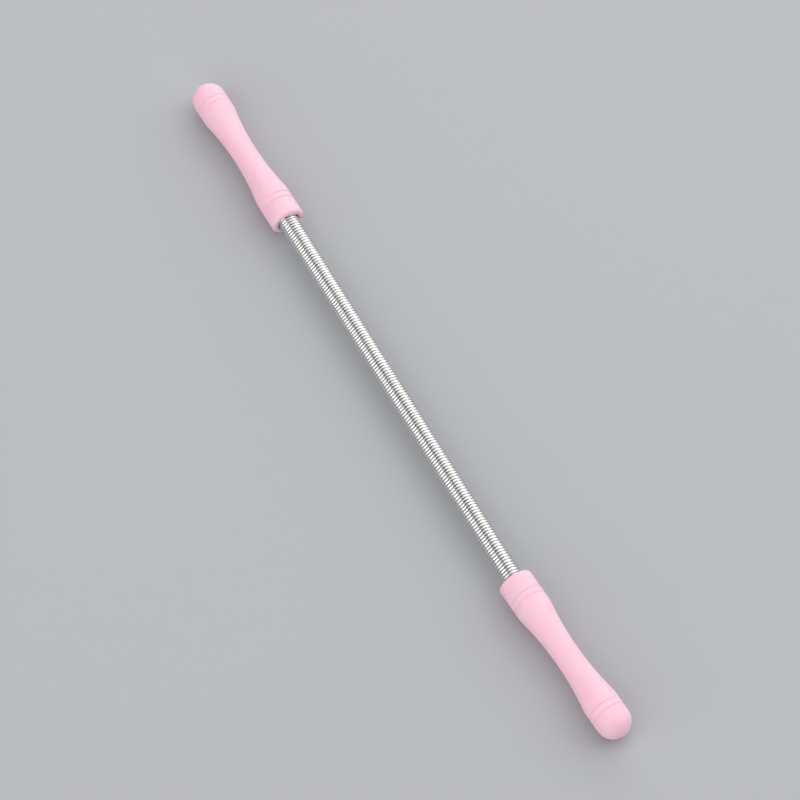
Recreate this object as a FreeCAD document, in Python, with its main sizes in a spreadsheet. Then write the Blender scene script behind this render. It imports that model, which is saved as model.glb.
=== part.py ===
"""Facial hair removal spring: a close-wound coil spring held between two turned plastic handles.

The tool lies along X on the plane Z = 0, with the origin under the middle of the coil. Lengths are
in millimetres and angles in degrees. The two handles are the same moulding, one at each end.
"""
import FreeCAD, Part
import enum
import math
import os

import Sketcher
from FreeCAD import Placement, Rotation, Vector


# Driving dimensions
SIZES = {
    # Handle, its collar measured from the mouth, where the coil goes in, and its bulb from the tip
    "handle_length": 58.5,
    "handle_diameter": 10.85,
    "waist_diameter": 7.9,
    "collar_length": 11.3,
    "bulb_length": 12.4,
    "knee_round": 2.0,
    "mouth_round": 1.0,
    # Ring grooves, a pair on the collar and a pair on the bulb, placed from the mouth and the tip
    "collar_ring_place": 6.5,
    "bulb_ring_place": 7.8,
    "ring_spacing": 2.1,
    "ring_depth": 0.25,
    # Coil
    "coil_showing": 143.0,
    "coil_diameter": 6.6,
    "wire_diameter": 0.96,
    "turn_gap": 0.034,
    # Seat of the coil in a handle
    "seat_depth": 5.5,
    "bore_clearance": 0.05,
    "bore_end_gap": 0.3,
    "bore_edge": 0.2,
    # How far each handle stands askew on the coil
    "left_lean": 0.7,
    "right_lean": 2.9,
}

# Height of the coil's axis when the handles lie on their widest parts
AXIS_HEIGHT = "Sizes.handle_diameter / 2"

# Sides of the polygon that stands for the round wire, flat to flat one wire diameter
WIRE_SIDES = 8

# The bore leaves room for the straight coil end in a handle that leans
BORE_RADIUS = (
    "Sizes.coil_diameter / 2 + Sizes.bore_clearance"
    " + Sizes.seat_depth * tan(max(Sizes.left_lean; Sizes.right_lean) * 1 deg)"
)
BORE_DEPTH = "Sizes.seat_depth + Sizes.bore_end_gap"

# The two roundings of the mouth leave a flat ring between them in a thin wall too
WALL = f"(Sizes.handle_diameter / 2 - ({BORE_RADIUS}))"
MOUTH_ROUND = f"min(Sizes.mouth_round; 0.75 * {WALL})"
BORE_EDGE = f"min(Sizes.bore_edge; 0.125 * {WALL})"

# Largest difference between two places or two radii that are the same
MATCH = 1e-4


def make_sheet(doc):
    """Spreadsheet with one named row for each driving dimension."""
    sheet = doc.addObject("Spreadsheet::Sheet", "Sizes")
    for row, (name, value) in enumerate(SIZES.items(), start=1):
        sheet.set(f"A{row}", name)
        sheet.set(f"B{row}", str(value))
        sheet.setAlias(f"B{row}", name)
    doc.recompute()
    return sheet


def origin_plane(body, role):
    """Origin plane of a body by its role."""
    return next(item for item in body.Origin.OriginFeatures if item.Role == role)


def new_sketch(body, name):
    """Sketch on the body's XY plane, so that its horizontal axis is the body's own X axis."""
    sketch = body.newObject("Sketcher::SketchObject", name)
    sketch.AttachmentSupport = [(origin_plane(body, "XY_Plane"), "")]
    sketch.MapMode = "FlatFace"
    return sketch


class Point(enum.IntEnum):
    """Numbers by which a sketch names the points of a line or an arc."""

    START = 1
    END = 2
    CENTRE = 3


START, END, CENTRE = Point

# Geometry number of a sketch's horizontal axis, whose start is the origin
AXIS = -1


def drive(sketch, name, expression, kind, *where):
    """Adds a named dimension to a sketch and ties it to an expression on the sheet."""
    value = sketch.evalExpression(expression)
    number = sketch.addConstraint(Sketcher.Constraint(kind, *where, float(value)))
    sketch.renameConstraint(number, name)
    sketch.setExpression(f"Constraints.{name}", expression)


def handle_outline(body):
    """Half outline of the handle: mouth, collar, concave waist between two knees, bulb and domed tip."""
    sketch = new_sketch(body, "HandleOutline")
    length = SIZES["handle_length"]
    radius = SIZES["handle_diameter"] / 2
    corner = float(sketch.evalExpression(MOUTH_ROUND))
    knee = SIZES["knee_round"]
    first = SIZES["collar_length"]
    last = length - SIZES["bulb_length"]
    sag = radius - SIZES["waist_diameter"] / 2
    half_span = (last - first) / 2
    middle = (first + last) / 2
    waist_curve = (half_span**2 + sag**2) / (2 * sag) - knee
    sweep = math.asin(half_span / (waist_curve + knee))
    up = Vector(0, 0, 1)

    rim_circle = Part.Circle(Vector(corner, radius - corner, 0), up, corner)
    collar_circle = Part.Circle(Vector(first, radius - knee, 0), up, knee)
    waist_circle = Part.Circle(Vector(middle, radius - sag + waist_curve, 0), up, waist_curve)
    bulb_circle = Part.Circle(Vector(last, radius - knee, 0), up, knee)
    dome_circle = Part.Circle(Vector(length - radius, 0, 0), up, radius)
    face = sketch.addGeometry(Part.LineSegment(Vector(0, 0, 0), Vector(0, radius - corner, 0)))
    rim = sketch.addGeometry(Part.ArcOfCircle(rim_circle, math.pi / 2, math.pi))
    collar = sketch.addGeometry(Part.LineSegment(Vector(corner, radius, 0), Vector(first, radius, 0)))
    collar_knee = sketch.addGeometry(
        Part.ArcOfCircle(collar_circle, math.pi / 2 - sweep, math.pi / 2)
    )
    waist = sketch.addGeometry(
        Part.ArcOfCircle(waist_circle, 1.5 * math.pi - sweep, 1.5 * math.pi + sweep)
    )
    bulb_knee = sketch.addGeometry(
        Part.ArcOfCircle(bulb_circle, math.pi / 2, math.pi / 2 + sweep)
    )
    bulb = sketch.addGeometry(
        Part.LineSegment(Vector(last, radius, 0), Vector(length - radius, radius, 0))
    )
    dome = sketch.addGeometry(Part.ArcOfCircle(dome_circle, 0, math.pi / 2))
    centre_line = sketch.addGeometry(Part.LineSegment(Vector(length, 0, 0), Vector(0, 0, 0)))
    lowest = sketch.addGeometry(Part.Point(Vector(middle, radius - sag, 0)), True)

    joints = [
        ("Coincident", face, START, AXIS, START),
        ("Vertical", face),
        ("Tangent", face, END, rim, END),
        ("Tangent", rim, START, collar, START),
        ("Horizontal", collar),
        ("Tangent", collar, END, collar_knee, END),
        ("Tangent", collar_knee, START, waist, START),
        ("Tangent", waist, END, bulb_knee, END),
        ("Tangent", bulb_knee, START, bulb, START),
        ("Equal", collar_knee, bulb_knee),
        ("Horizontal", bulb),
        ("Tangent", bulb, END, dome, END),
        ("Coincident", dome, START, centre_line, START),
        ("Coincident", centre_line, END, face, START),
        ("PointOnObject", dome, CENTRE, AXIS),
        ("PointOnObject", centre_line, START, AXIS),
        ("Vertical", lowest, START, waist, CENTRE),
        ("PointOnObject", lowest, START, waist),
    ]
    for joint in joints:
        sketch.addConstraint(Sketcher.Constraint(*joint))
    origin = (AXIS, START)
    drive(sketch, "mouth_round", MOUTH_ROUND, "Radius", rim)
    drive(sketch, "knee_round", "Sizes.knee_round", "Radius", collar_knee)
    drive(sketch, "collar_radius", "Sizes.handle_diameter / 2", "DistanceY", *origin, collar, END)
    drive(sketch, "bulb_radius", "Sizes.handle_diameter / 2", "DistanceY", *origin, bulb, START)
    drive(sketch, "waist_radius", "Sizes.waist_diameter / 2", "DistanceY", *origin, lowest, START)
    drive(sketch, "collar_length", "Sizes.collar_length", "DistanceX", *origin, collar, END)
    drive(sketch, "bulb_length", "Sizes.bulb_length", "DistanceX", bulb, START, dome, START)
    drive(sketch, "length", "Sizes.handle_length", "DistanceX", *origin, dome, START)
    return sketch


def ring_sections(body):
    """Round sections of the four ring grooves, each centred on the handle's surface."""
    sketch = new_sketch(body, "RingSections")
    radius = SIZES["handle_diameter"] / 2
    depth = SIZES["ring_depth"]
    places = [
        "Sizes.collar_ring_place",
        "Sizes.collar_ring_place + Sizes.ring_spacing",
        "Sizes.handle_length - Sizes.bulb_ring_place - Sizes.ring_spacing",
        "Sizes.handle_length - Sizes.bulb_ring_place",
    ]
    for number, place in enumerate(places, start=1):
        distance = float(sketch.evalExpression(place))
        circle = Part.Circle(Vector(distance, radius, 0), Vector(0, 0, 1), depth)
        ring = sketch.addGeometry(circle)
        centre = (AXIS, START, ring, CENTRE)
        drive(sketch, f"place_{number}", place, "DistanceX", *centre)
        drive(sketch, f"height_{number}", "Sizes.handle_diameter / 2", "DistanceY", *centre)
        drive(sketch, f"depth_{number}", "Sizes.ring_depth", "Radius", ring)
    return sketch


def bore_outline(body):
    """Half section of the blind bore, from the mouth face to its flat bottom."""
    sketch = new_sketch(body, "BoreOutline")
    radius = float(sketch.evalExpression(BORE_RADIUS))
    depth = float(sketch.evalExpression(BORE_DEPTH))
    corners = [Vector(0, 0, 0), Vector(depth, 0, 0), Vector(depth, radius, 0), Vector(0, radius, 0)]
    count = len(corners)
    for number in range(count):
        sketch.addGeometry(Part.LineSegment(corners[number], corners[(number + 1) % count]))
    for number in range(count):
        following = (number + 1) % count
        sketch.addConstraint(Sketcher.Constraint("Coincident", number, END, following, START))
        direction = "Horizontal" if number % 2 == 0 else "Vertical"
        sketch.addConstraint(Sketcher.Constraint(direction, number))
    sketch.addConstraint(Sketcher.Constraint("Coincident", 0, START, AXIS, START))
    drive(sketch, "depth", BORE_DEPTH, "DistanceX", 0, START, 0, END)
    drive(sketch, "radius", BORE_RADIUS, "DistanceY", 1, START, 1, END)
    return sketch


def ring_edges(shape, distance, radius):
    """Names of the round edges at one distance along the handle and of one radius."""
    names = []
    for number, edge in enumerate(shape.Edges, start=1):
        if edge.Degenerated or not isinstance(edge.Curve, Part.Circle):
            continue
        curve = edge.Curve
        same_place = abs(curve.Center.x - distance) < MATCH and abs(curve.Center.y) < MATCH
        if same_place and abs(curve.Radius - radius) < MATCH:
            names.append(f"Edge{number}")
    return names


def make_handle(doc, label, side, lean):
    """One handle. Its mouth is on the coil's line, and it leans about the upright through there."""
    body = doc.addObject("PartDesign::Body", label)
    body.Label = label

    turned = body.newObject("PartDesign::Revolution", "Turned")
    outline = handle_outline(body)
    turned.Profile = outline
    turned.ReferenceAxis = (outline, ["H_Axis"])
    turned.Angle = 360

    rings = body.newObject("PartDesign::Groove", "Rings")
    sections = ring_sections(body)
    rings.Profile = sections
    rings.ReferenceAxis = (sections, ["H_Axis"])
    rings.Angle = 360

    bore = body.newObject("PartDesign::Groove", "Bore")
    bore_section = bore_outline(body)
    bore.Profile = bore_section
    bore.ReferenceAxis = (bore_section, ["H_Axis"])
    bore.Angle = 360
    doc.recompute()

    bore_edge = body.newObject("PartDesign::Fillet", "BoreEdge")
    bore_radius = float(body.evalExpression(BORE_RADIUS))
    bore_edge.Base = (bore, ring_edges(bore.Shape, 0, bore_radius))
    bore_edge.setExpression("Radius", BORE_EDGE)

    turn = 0 if side > 0 else 180
    upright = Vector(0, 0, 1)
    body.Placement = Placement(Vector(0, 0, 0), Rotation(upright, turn + SIZES[lean]))
    body.setExpression("Placement.Base.x", f"{side} * Sizes.coil_showing / 2")
    body.setExpression("Placement.Base.z", AXIS_HEIGHT)
    body.setExpression("Placement.Rotation.Angle", f"{turn} + Sizes.{lean}")
    return body


def make_coil(doc, sheet):
    """Close-wound spring, one wire from end to end, with its end turns inside the two bores.

    A polygon with a flat outermost stands for the round wire. It follows one long helix, which is
    wound upright and then laid along X.
    """
    radius = (sheet.coil_diameter - sheet.wire_diameter) / 2
    pitch = sheet.wire_diameter + sheet.turn_gap
    height = sheet.coil_showing + 2 * sheet.seat_depth - sheet.wire_diameter
    step = 2 * math.pi / WIRE_SIDES
    corner_radius = sheet.wire_diameter / 2 / math.cos(step / 2)
    angles = [(number + 0.5) * step for number in range(WIRE_SIDES)]
    corners = [
        Vector(radius + corner_radius * math.cos(angle), 0, corner_radius * math.sin(angle))
        for angle in angles
    ]
    section = Part.makePolygon(corners + corners[:1])
    helix = Part.makeLongHelix(pitch, height, radius, 0)

    coil = doc.addObject("Part::Feature", "coil_spring")
    coil.Label = "coil_spring"
    coil.Shape = helix.makePipeShell([section], True, True)
    coil.Placement = Placement(Vector(-height / 2, 0, 0), Rotation(Vector(0, 1, 0), 90))
    coil.setExpression("Placement.Base.z", AXIS_HEIGHT)
    return coil


def check(doc, pieces):
    """Stops if any object failed or any piece isn't a valid solid."""
    for item in doc.Objects:
        if "Invalid" in item.State or "Error" in item.State:
            raise RuntimeError(f"{item.Name} failed: {item.State}")
    for piece in pieces:
        shape = piece.Shape
        if shape.isNull() or not shape.isValid() or len(shape.Solids) != 1:
            raise RuntimeError(f"{piece.Label} is not one valid solid")


def main():
    os.makedirs("parts", exist_ok=True)
    doc = FreeCAD.newDocument("FacialHairRemovalSpring")
    sheet = make_sheet(doc)
    pieces = [
        make_handle(doc, "left_handle", -1, "left_lean"),
        make_handle(doc, "right_handle", 1, "right_lean"),
        make_coil(doc, sheet),
    ]
    doc.recompute()
    check(doc, pieces)
    for piece in pieces:
        piece.Shape.exportStep(f"parts/{piece.Label}.step")
        box = piece.Shape.BoundBox
        print(piece.Label, f"volume {piece.Shape.Volume:.1f}", f"x {box.XMin:.2f} to {box.XMax:.2f}")


main()
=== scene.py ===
"""Looks of the facial hair removal spring: two turned pink handles on a close-wound steel coil.

The tool lies along X on the floor, Z = 0, with the middle of the coil over the origin. Lengths are in
metres and angles in degrees. The two handles come first, and then the coil, the floor, the light and
the camera.
"""

import math

import bmesh
import bpy
from mathutils import Matrix, Vector


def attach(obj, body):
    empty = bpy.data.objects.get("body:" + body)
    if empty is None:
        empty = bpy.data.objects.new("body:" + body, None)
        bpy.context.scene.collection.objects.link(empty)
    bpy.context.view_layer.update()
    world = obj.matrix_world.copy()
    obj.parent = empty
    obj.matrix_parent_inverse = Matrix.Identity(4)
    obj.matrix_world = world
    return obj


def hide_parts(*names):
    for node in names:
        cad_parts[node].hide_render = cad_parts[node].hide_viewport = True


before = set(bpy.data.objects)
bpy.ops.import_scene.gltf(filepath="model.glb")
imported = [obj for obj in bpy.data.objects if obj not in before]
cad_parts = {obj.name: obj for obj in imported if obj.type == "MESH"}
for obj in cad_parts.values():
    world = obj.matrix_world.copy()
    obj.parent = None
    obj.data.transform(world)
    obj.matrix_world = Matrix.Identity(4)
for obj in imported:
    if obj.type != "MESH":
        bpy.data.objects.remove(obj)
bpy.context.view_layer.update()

# The two handles are one moulding of satin pink plastic, turned end for end: a collar with two ring
# grooves, a concave waist, a bulb with two more grooves, and a domed tip. The collar is bored for the
# coil, which is glued in, and each handle sits a little askew on it, as the real ones do.
MM = 0.001
HANDLE_LENGTH = 58.5 * MM
HANDLE_RADIUS = 5.425 * MM
AXIS_HEIGHT = HANDLE_RADIUS
WAIST_RADIUS = 3.95 * MM
COLLAR_LENGTH = 11.3 * MM
BULB_LENGTH = 12.4 * MM
KNEE_ROUND = 2.0 * MM
MOUTH_ROUND = 1.0 * MM
RING_FROM_MOUTH = 6.5 * MM
RING_FROM_TIP = 7.8 * MM
RING_SPACING = 2.1 * MM
RING_RADIUS = 0.25 * MM
RING_SHOULDER_ANGLE = 20
RING_LIP = 0.09 * MM
RING_LIP_ANGLE = 40
LEFT_LEAN = 0.7
RIGHT_LEAN = 2.9
COIL_SHOWING = 143.0 * MM
COIL_OUTER_RADIUS = 3.3 * MM
SEAT_DEPTH = 5.5 * MM
BORE_CLEARANCE = 0.05 * MM
BORE_END_GAP = 0.3 * MM
BORE_EDGE = 0.2 * MM
BORE_RADIUS = COIL_OUTER_RADIUS + BORE_CLEARANCE + SEAT_DEPTH * math.tan(math.radians(RIGHT_LEAN))
BORE_DEPTH = SEAT_DEPTH + BORE_END_GAP

# How many straight steps stand for each round stretch of the half section, and for a full turn of it
RING_LIP_STEPS = 3
RING_BOTTOM_STEPS = 8
KNEE_STEPS = 3
WAIST_STEPS = 40
BORE_EDGE_STEPS = 4
MOUTH_STEPS = 8
DOME_STEPS = 24
FULL_TURN_STEPS = 112

# How near two points are when they become one, and past which turn of its faces an edge stays crisp
SAME_POINT = 1e-7
CRISP_TURN = 50


def arc(centre_x, centre_r, radius, start, end, steps):
    """Points of an arc in the half section, from one angle to another."""
    angles = [math.radians(start + (end - start) * step / steps) for step in range(steps + 1)]
    return [(centre_x + radius * math.cos(a), centre_r + radius * math.sin(a)) for a in angles]


def ring_groove(place):
    """Half section of one ring groove, cut with a round tool, with its two lips broken."""
    reach = RING_RADIUS + RING_LIP
    lip_height = HANDLE_RADIUS - RING_LIP
    start = 180 + RING_SHOULDER_ANGLE
    end = 360 - RING_SHOULDER_ANGLE
    left_lip = arc(place - reach, lip_height, RING_LIP, 90, RING_LIP_ANGLE, RING_LIP_STEPS)
    bottom = arc(place, HANDLE_RADIUS, RING_RADIUS, start, end, RING_BOTTOM_STEPS)
    right_lip = arc(place + reach, lip_height, RING_LIP, 180 - RING_LIP_ANGLE, 90, RING_LIP_STEPS)
    return left_lip + bottom + right_lip


def waist_curve():
    """The concave waist as one arc, with a rounded knee where it meets each straight end."""
    bulb_start = HANDLE_LENGTH - BULB_LENGTH
    sag = HANDLE_RADIUS - WAIST_RADIUS
    half_span = (bulb_start - COLLAR_LENGTH) / 2
    radius = (half_span**2 + sag**2) / (2 * sag) - KNEE_ROUND
    middle = (bulb_start + COLLAR_LENGTH) / 2
    sweep = math.degrees(math.asin(half_span / (radius + KNEE_ROUND)))
    knee_height = HANDLE_RADIUS - KNEE_ROUND
    collar_knee = arc(COLLAR_LENGTH, knee_height, KNEE_ROUND, 90, 90 - sweep, KNEE_STEPS)
    waist = arc(middle, WAIST_RADIUS + radius, radius, 270 - sweep, 270 + sweep, WAIST_STEPS)
    bulb_knee = arc(bulb_start, knee_height, KNEE_ROUND, 90 + sweep, 90, KNEE_STEPS)
    return collar_knee + waist[1:-1] + bulb_knee


def handle_section():
    """Half section from the middle of the bore's bottom, round the mouth, to the tip of the dome."""
    last_ring = HANDLE_LENGTH - RING_FROM_TIP
    bore_bottom = [(BORE_DEPTH, 0), (BORE_DEPTH, BORE_RADIUS / 2), (BORE_DEPTH, BORE_RADIUS)]
    bore_wall = [(BORE_DEPTH / 2, BORE_RADIUS)]
    bore_edge = arc(BORE_EDGE, BORE_RADIUS + BORE_EDGE, BORE_EDGE, 270, 180, BORE_EDGE_STEPS)
    mouth = arc(MOUTH_ROUND, HANDLE_RADIUS - MOUTH_ROUND, MOUTH_ROUND, 180, 90, MOUTH_STEPS)
    collar_rings = ring_groove(RING_FROM_MOUTH) + ring_groove(RING_FROM_MOUTH + RING_SPACING)
    bulb_rings = ring_groove(last_ring - RING_SPACING) + ring_groove(last_ring)
    dome = arc(HANDLE_LENGTH - HANDLE_RADIUS, 0, HANDLE_RADIUS, 90, 0, DOME_STEPS)
    inside = bore_bottom + bore_wall + bore_edge
    return inside + mouth + collar_rings + waist_curve() + bulb_rings + dome


def smooth_but_crisp(mesh):
    """Marks every face smooth, and keeps an edge crisp where its two faces turn sharply."""
    for face in mesh.faces:
        face.smooth = True
    for edge in mesh.edges:
        if len(edge.link_faces) == 2 and edge.calc_face_angle() > math.radians(CRISP_TURN):
            edge.smooth = False


def finished(mesh, name, material):
    """Turns a bmesh into an object of the scene with its material."""
    data = bpy.data.meshes.new(name)
    mesh.to_mesh(data)
    mesh.free()
    data.materials.append(material)
    piece = bpy.data.objects.new(name, data)
    bpy.context.scene.collection.objects.link(piece)
    return piece


def new_material(name):
    """A node material, with its nodes, its links and its shader."""
    material = bpy.data.materials.new(name)
    material.use_nodes = True
    nodes = material.node_tree.nodes
    return material, nodes, material.node_tree.links, nodes["Principled BSDF"]


# The pink drifts a little from place to place, and so does the satin, over a very fine grain
PINK = (1.0, 0.605, 0.70, 1)
DEEP_PINK = (0.99, 0.565, 0.67, 1)

handle_plastic, nodes, links, shader = new_material("handle_plastic")
place = nodes.new("ShaderNodeTexCoord").outputs["Object"]
clouds = nodes.new("ShaderNodeTexNoise")
clouds.inputs["Scale"].default_value = 90
clouds.inputs["Detail"].default_value = 3
links.new(place, clouds.inputs["Vector"])
tint = nodes.new("ShaderNodeMix")
tint.data_type = "RGBA"
tint.inputs["A"].default_value = PINK
tint.inputs["B"].default_value = DEEP_PINK
links.new(clouds.outputs["Fac"], tint.inputs["Factor"])
links.new(tint.outputs["Result"], shader.inputs["Base Color"])
satin = nodes.new("ShaderNodeMapRange")
satin.inputs["To Min"].default_value = 0.36
satin.inputs["To Max"].default_value = 0.48
links.new(clouds.outputs["Fac"], satin.inputs["Value"])
links.new(satin.outputs["Result"], shader.inputs["Roughness"])
grain = nodes.new("ShaderNodeTexNoise")
grain.inputs["Scale"].default_value = 2600
grain.inputs["Detail"].default_value = 2
links.new(place, grain.inputs["Vector"])
skin = nodes.new("ShaderNodeBump")
skin.inputs["Strength"].default_value = 0.08
skin.inputs["Distance"].default_value = 0.04 * MM
links.new(grain.outputs["Fac"], skin.inputs["Height"])
links.new(skin.outputs["Normal"], shader.inputs["Normal"])
shader.inputs["IOR"].default_value = 1.48
shader.inputs["Subsurface Weight"].default_value = 0.9
shader.inputs["Subsurface Radius"].default_value = (1.0, 0.5, 0.55)
shader.inputs["Subsurface Scale"].default_value = 1.8 * MM


def turned_handle(name, node, turn, side):
    """Spins the half section into a handle, and sets its mouth on the coil's line."""
    mesh = bmesh.new()
    corners = [mesh.verts.new((x, r, 0)) for x, r in handle_section()]
    for first, second in zip(corners, corners[1:]):
        mesh.edges.new((first, second))
    bmesh.ops.spin(
        mesh,
        geom=mesh.verts[:] + mesh.edges[:],
        cent=(0, 0, 0),
        axis=(1, 0, 0),
        dvec=(0, 0, 0),
        angle=2 * math.pi,
        steps=FULL_TURN_STEPS,
        use_merge=True,
        use_normal_flip=False,
        use_duplicate=False,
    )
    bmesh.ops.remove_doubles(mesh, verts=mesh.verts[:], dist=SAME_POINT)
    bmesh.ops.recalc_face_normals(mesh, faces=mesh.faces[:])
    smooth_but_crisp(mesh)
    seat = Matrix.Translation((side * COIL_SHOWING / 2, 0, AXIS_HEIGHT))
    lean = Matrix.Rotation(math.radians(turn), 4, "Z")
    bmesh.ops.transform(mesh, matrix=seat @ lean, verts=mesh.verts[:])
    piece = finished(mesh, name, handle_plastic)
    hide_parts(node)
    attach(piece, "root")


turned_handle("handle_left", "left_handle", turn=180 + LEFT_LEAN, side=-1)
turned_handle("handle_right", "right_handle", turn=RIGHT_LEAN, side=1)

# The coil is one length of bright spring wire, wound close on a mandrel from end to end, turn against
# turn. Its end turns are pushed into the bores of the handles and glued there.
WIRE_RADIUS = 0.48 * MM
TURN_GAP = 0.034 * MM
PITCH = 2 * WIRE_RADIUS + TURN_GAP
COIL_RADIUS = COIL_OUTER_RADIUS - WIRE_RADIUS
WIRE_SIDES = 12
STEPS_PER_TURN = 36
WIRE_STEEL = (0.72, 0.72, 0.705, 1)
BRIGHT_STEEL = (0.80, 0.80, 0.785, 1)

wound_length = COIL_SHOWING + 2 * SEAT_DEPTH - 2 * WIRE_RADIUS
turns = wound_length / PITCH

spring_wire, nodes, links, shader = new_material("spring_wire")
shader.inputs["Metallic"].default_value = 1.0
run = nodes.new("ShaderNodeAttribute")
run.attribute_name = "wire_run"
drawn = nodes.new("ShaderNodeTexNoise")
drawn.inputs["Scale"].default_value = 1.0
drawn.inputs["Detail"].default_value = 4
links.new(run.outputs["Vector"], drawn.inputs["Vector"])
steel = nodes.new("ShaderNodeMix")
steel.data_type = "RGBA"
steel.inputs["A"].default_value = WIRE_STEEL
steel.inputs["B"].default_value = BRIGHT_STEEL
links.new(drawn.outputs["Fac"], steel.inputs["Factor"])
links.new(steel.outputs["Result"], shader.inputs["Base Color"])
polish = nodes.new("ShaderNodeMapRange")
polish.inputs["To Min"].default_value = 0.08
polish.inputs["To Max"].default_value = 0.16
links.new(drawn.outputs["Fac"], polish.inputs["Value"])
links.new(polish.outputs["Result"], shader.inputs["Roughness"])
die_lines = nodes.new("ShaderNodeBump")
die_lines.inputs["Strength"].default_value = 0.15
die_lines.inputs["Distance"].default_value = 0.01 * MM
links.new(drawn.outputs["Fac"], die_lines.inputs["Height"])
links.new(die_lines.outputs["Normal"], shader.inputs["Normal"])

# The wire's section stands at the left end of the coil, and a Screw modifier winds it to the right end
section = bmesh.new()
bmesh.ops.create_circle(section, cap_ends=False, segments=WIRE_SIDES, radius=WIRE_RADIUS)
off_axis = Matrix.Translation((-wound_length / 2, COIL_RADIUS, 0))
quarter_turn = Matrix.Rotation(-math.pi / 2, 4, "X")
bmesh.ops.transform(section, matrix=quarter_turn @ off_axis, verts=section.verts[:])
wire_end = finished(section, "wire_end", spring_wire)
winding = wire_end.modifiers.new("winding", "SCREW")
winding.axis = "X"
winding.angle = 2 * math.pi * turns
winding.screw_offset = wound_length
winding.steps = winding.render_steps = round(turns * STEPS_PER_TURN)
wound_wire = wire_end.evaluated_get(bpy.context.evaluated_depsgraph_get())
wound_mesh = bpy.data.meshes.new_from_object(wound_wire)
bpy.data.objects.remove(wire_end)

coil = bmesh.new()
coil.from_mesh(wound_mesh)
bpy.data.meshes.remove(wound_mesh)
open_edges = [edge for edge in coil.edges if edge.is_boundary]
bmesh.ops.holes_fill(coil, edges=open_edges, sides=WIRE_SIDES)
bmesh.ops.recalc_face_normals(coil, faces=coil.faces[:])
smooth_but_crisp(coil)

# Each point of the wire's skin keeps where it is round the wire and how far along, for the die lines.
# These are long and thin: so many to a radius of the wire, and so many to a metre of it.
LINES_TO_RADIUS = 3
LINES_TO_METRE = 120

wire_run = coil.verts.layers.float_vector.new("wire_run")
turn_length = 2 * math.pi * COIL_RADIUS
for corner in coil.verts:
    x, y, z = corner.co
    share = math.atan2(y, -z) / (2 * math.pi)
    along = (x + wound_length / 2) / PITCH
    turn = round(along - share) + share
    outward = (math.hypot(y, z) - COIL_RADIUS) / WIRE_RADIUS
    sideways = (along - turn) * PITCH / WIRE_RADIUS
    corner[wire_run] = (
        outward * LINES_TO_RADIUS,
        sideways * LINES_TO_RADIUS,
        turn * turn_length * LINES_TO_METRE,
    )
bmesh.ops.translate(coil, vec=(0, 0, AXIS_HEIGHT), verts=coil.verts[:])
coil_piece = finished(coil, "spring_coil", spring_wire)
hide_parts("coil_spring")
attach(coil_piece, "root")

# The floor is one wide flat sheet in a plain pale grey, with a dull finish. The tool lies on it, and
# it is no part of the tool.
FLOOR_GREY = (0.43, 0.44, 0.465, 1)
FLOOR_REACH = 3.0

floor_mesh = bmesh.new()
bmesh.ops.create_grid(floor_mesh, x_segments=1, y_segments=1, size=FLOOR_REACH)
floor_paint = bpy.data.materials.new("floor_paint")
floor_paint.use_nodes = True
shader = floor_paint.node_tree.nodes["Principled BSDF"]
shader.inputs["Base Color"].default_value = FLOOR_GREY
shader.inputs["Roughness"].default_value = 0.8
floor = finished(floor_mesh, "floor", floor_paint)

# Soft studio light: long diffuser panels round the tool, and the dim room. Three of them reach from
# above to the far right, and a low one is on the near left. Between them a short one hangs overhead, so
# that the wire shows a dark line there, broken by its gleam.
ROOM_LIGHT = 0.09
PANEL_DISTANCE = 2.2

world = bpy.data.worlds.new("room")
bpy.context.scene.world = world
world.use_nodes = True
background = world.node_tree.nodes["Background"]
background.inputs["Color"].default_value = (1, 1, 1, 1)
background.inputs["Strength"].default_value = ROOM_LIGHT


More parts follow.
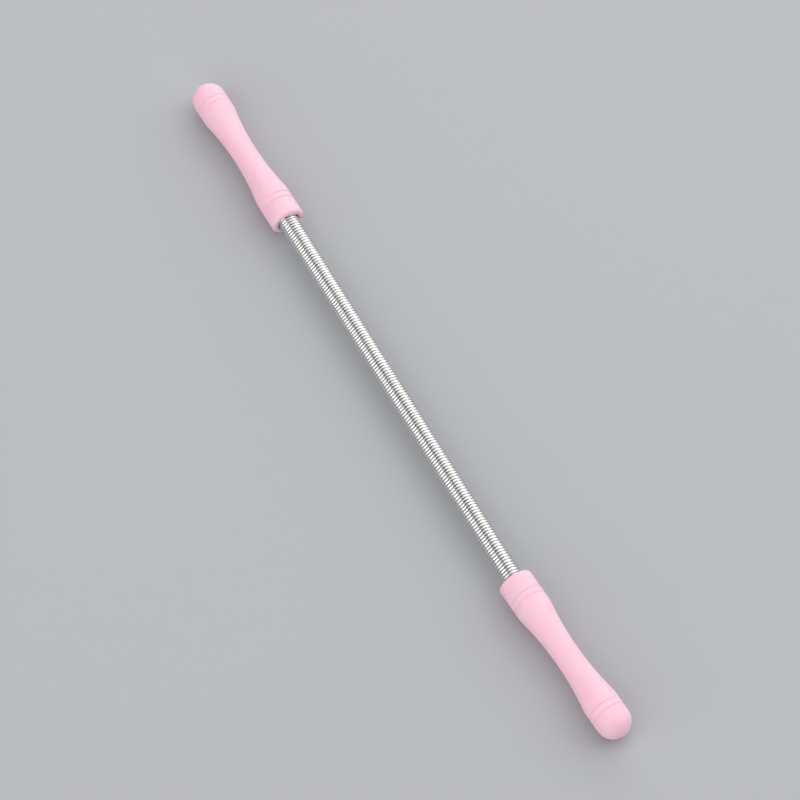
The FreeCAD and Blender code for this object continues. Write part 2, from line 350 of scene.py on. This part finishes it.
def panel(name, low, high, left, right, radiance):
    """A long panel beside the tool.

    It spans two angles from the upright towards +Y, and along the tool two angles from the middle
    towards +X.
    """
    middle = math.radians((low + high) / 2)
    left_end = PANEL_DISTANCE * math.tan(math.radians(left))
    right_end = PANEL_DISTANCE * math.tan(math.radians(right))
    lamp = bpy.data.lights.new(name, "AREA")
    lamp.shape = "RECTANGLE"
    lamp.size = right_end - left_end
    lamp.size_y = 2 * PANEL_DISTANCE * math.tan(math.radians(high - low) / 2)
    lamp.energy = radiance * math.pi * lamp.size * lamp.size_y
    holder = bpy.data.objects.new(name, lamp)
    holder.location = (
        (left_end + right_end) / 2,
        PANEL_DISTANCE * math.sin(middle),
        PANEL_DISTANCE * math.cos(middle),
    )
    holder.rotation_euler = (-middle, 0, 0)
    holder.visible_camera = False
    bpy.context.scene.collection.objects.link(holder)


panel("top_panel", low=4, high=34, left=-78, right=35, radiance=1.15)
panel("key_panel", low=34, high=66, left=-78, right=30, radiance=2.05)
panel("side_panel", low=66, high=88, left=-78, right=66, radiance=1.25)
panel("ceiling_panel", low=-30, high=4, left=-29, right=6, radiance=1.65)
panel("low_panel", low=-86, high=-30, left=-25, right=76, radiance=1.55)

# The camera looks steeply down on the tool from the near right, from about a metre away. Its place and
# its aim are each given by an angle round the upright, from +X, and an angle above the floor. The two
# differ a little, because the picture isn't centred on the coil.
CAMERA_DISTANCE = 1.037
PLACE_ROUND = -28.589
PLACE_ABOVE = 60.278
AIM_ROUND = -28.654
AIM_ABOVE = 60.346
FOCAL_PIXELS = 3407.8
PICTURE_PIXELS = 800
SENSOR_WIDTH = 36


def direction(degrees_round, degrees_above):
    """Unit vector from the tool towards the camera, from its two angles."""
    around = math.radians(degrees_round)
    above = math.radians(degrees_above)
    return Vector(
        (math.cos(above) * math.cos(around), math.cos(above) * math.sin(around), math.sin(above))
    )


camera_data = bpy.data.cameras.new("camera")
camera_data.sensor_width = SENSOR_WIDTH
camera_data.lens = FOCAL_PIXELS / PICTURE_PIXELS * SENSOR_WIDTH
camera = bpy.data.objects.new("camera", camera_data)
coil_middle = Vector((0, 0, AXIS_HEIGHT))
camera.location = coil_middle + CAMERA_DISTANCE * direction(PLACE_ROUND, PLACE_ABOVE)
camera.rotation_euler = (-direction(AIM_ROUND, AIM_ABOVE)).to_track_quat("-Z", "Y").to_euler()
bpy.context.scene.collection.objects.link(camera)
bpy.context.scene.camera = camera
bpy.context.scene.view_settings.view_transform = "Standard"
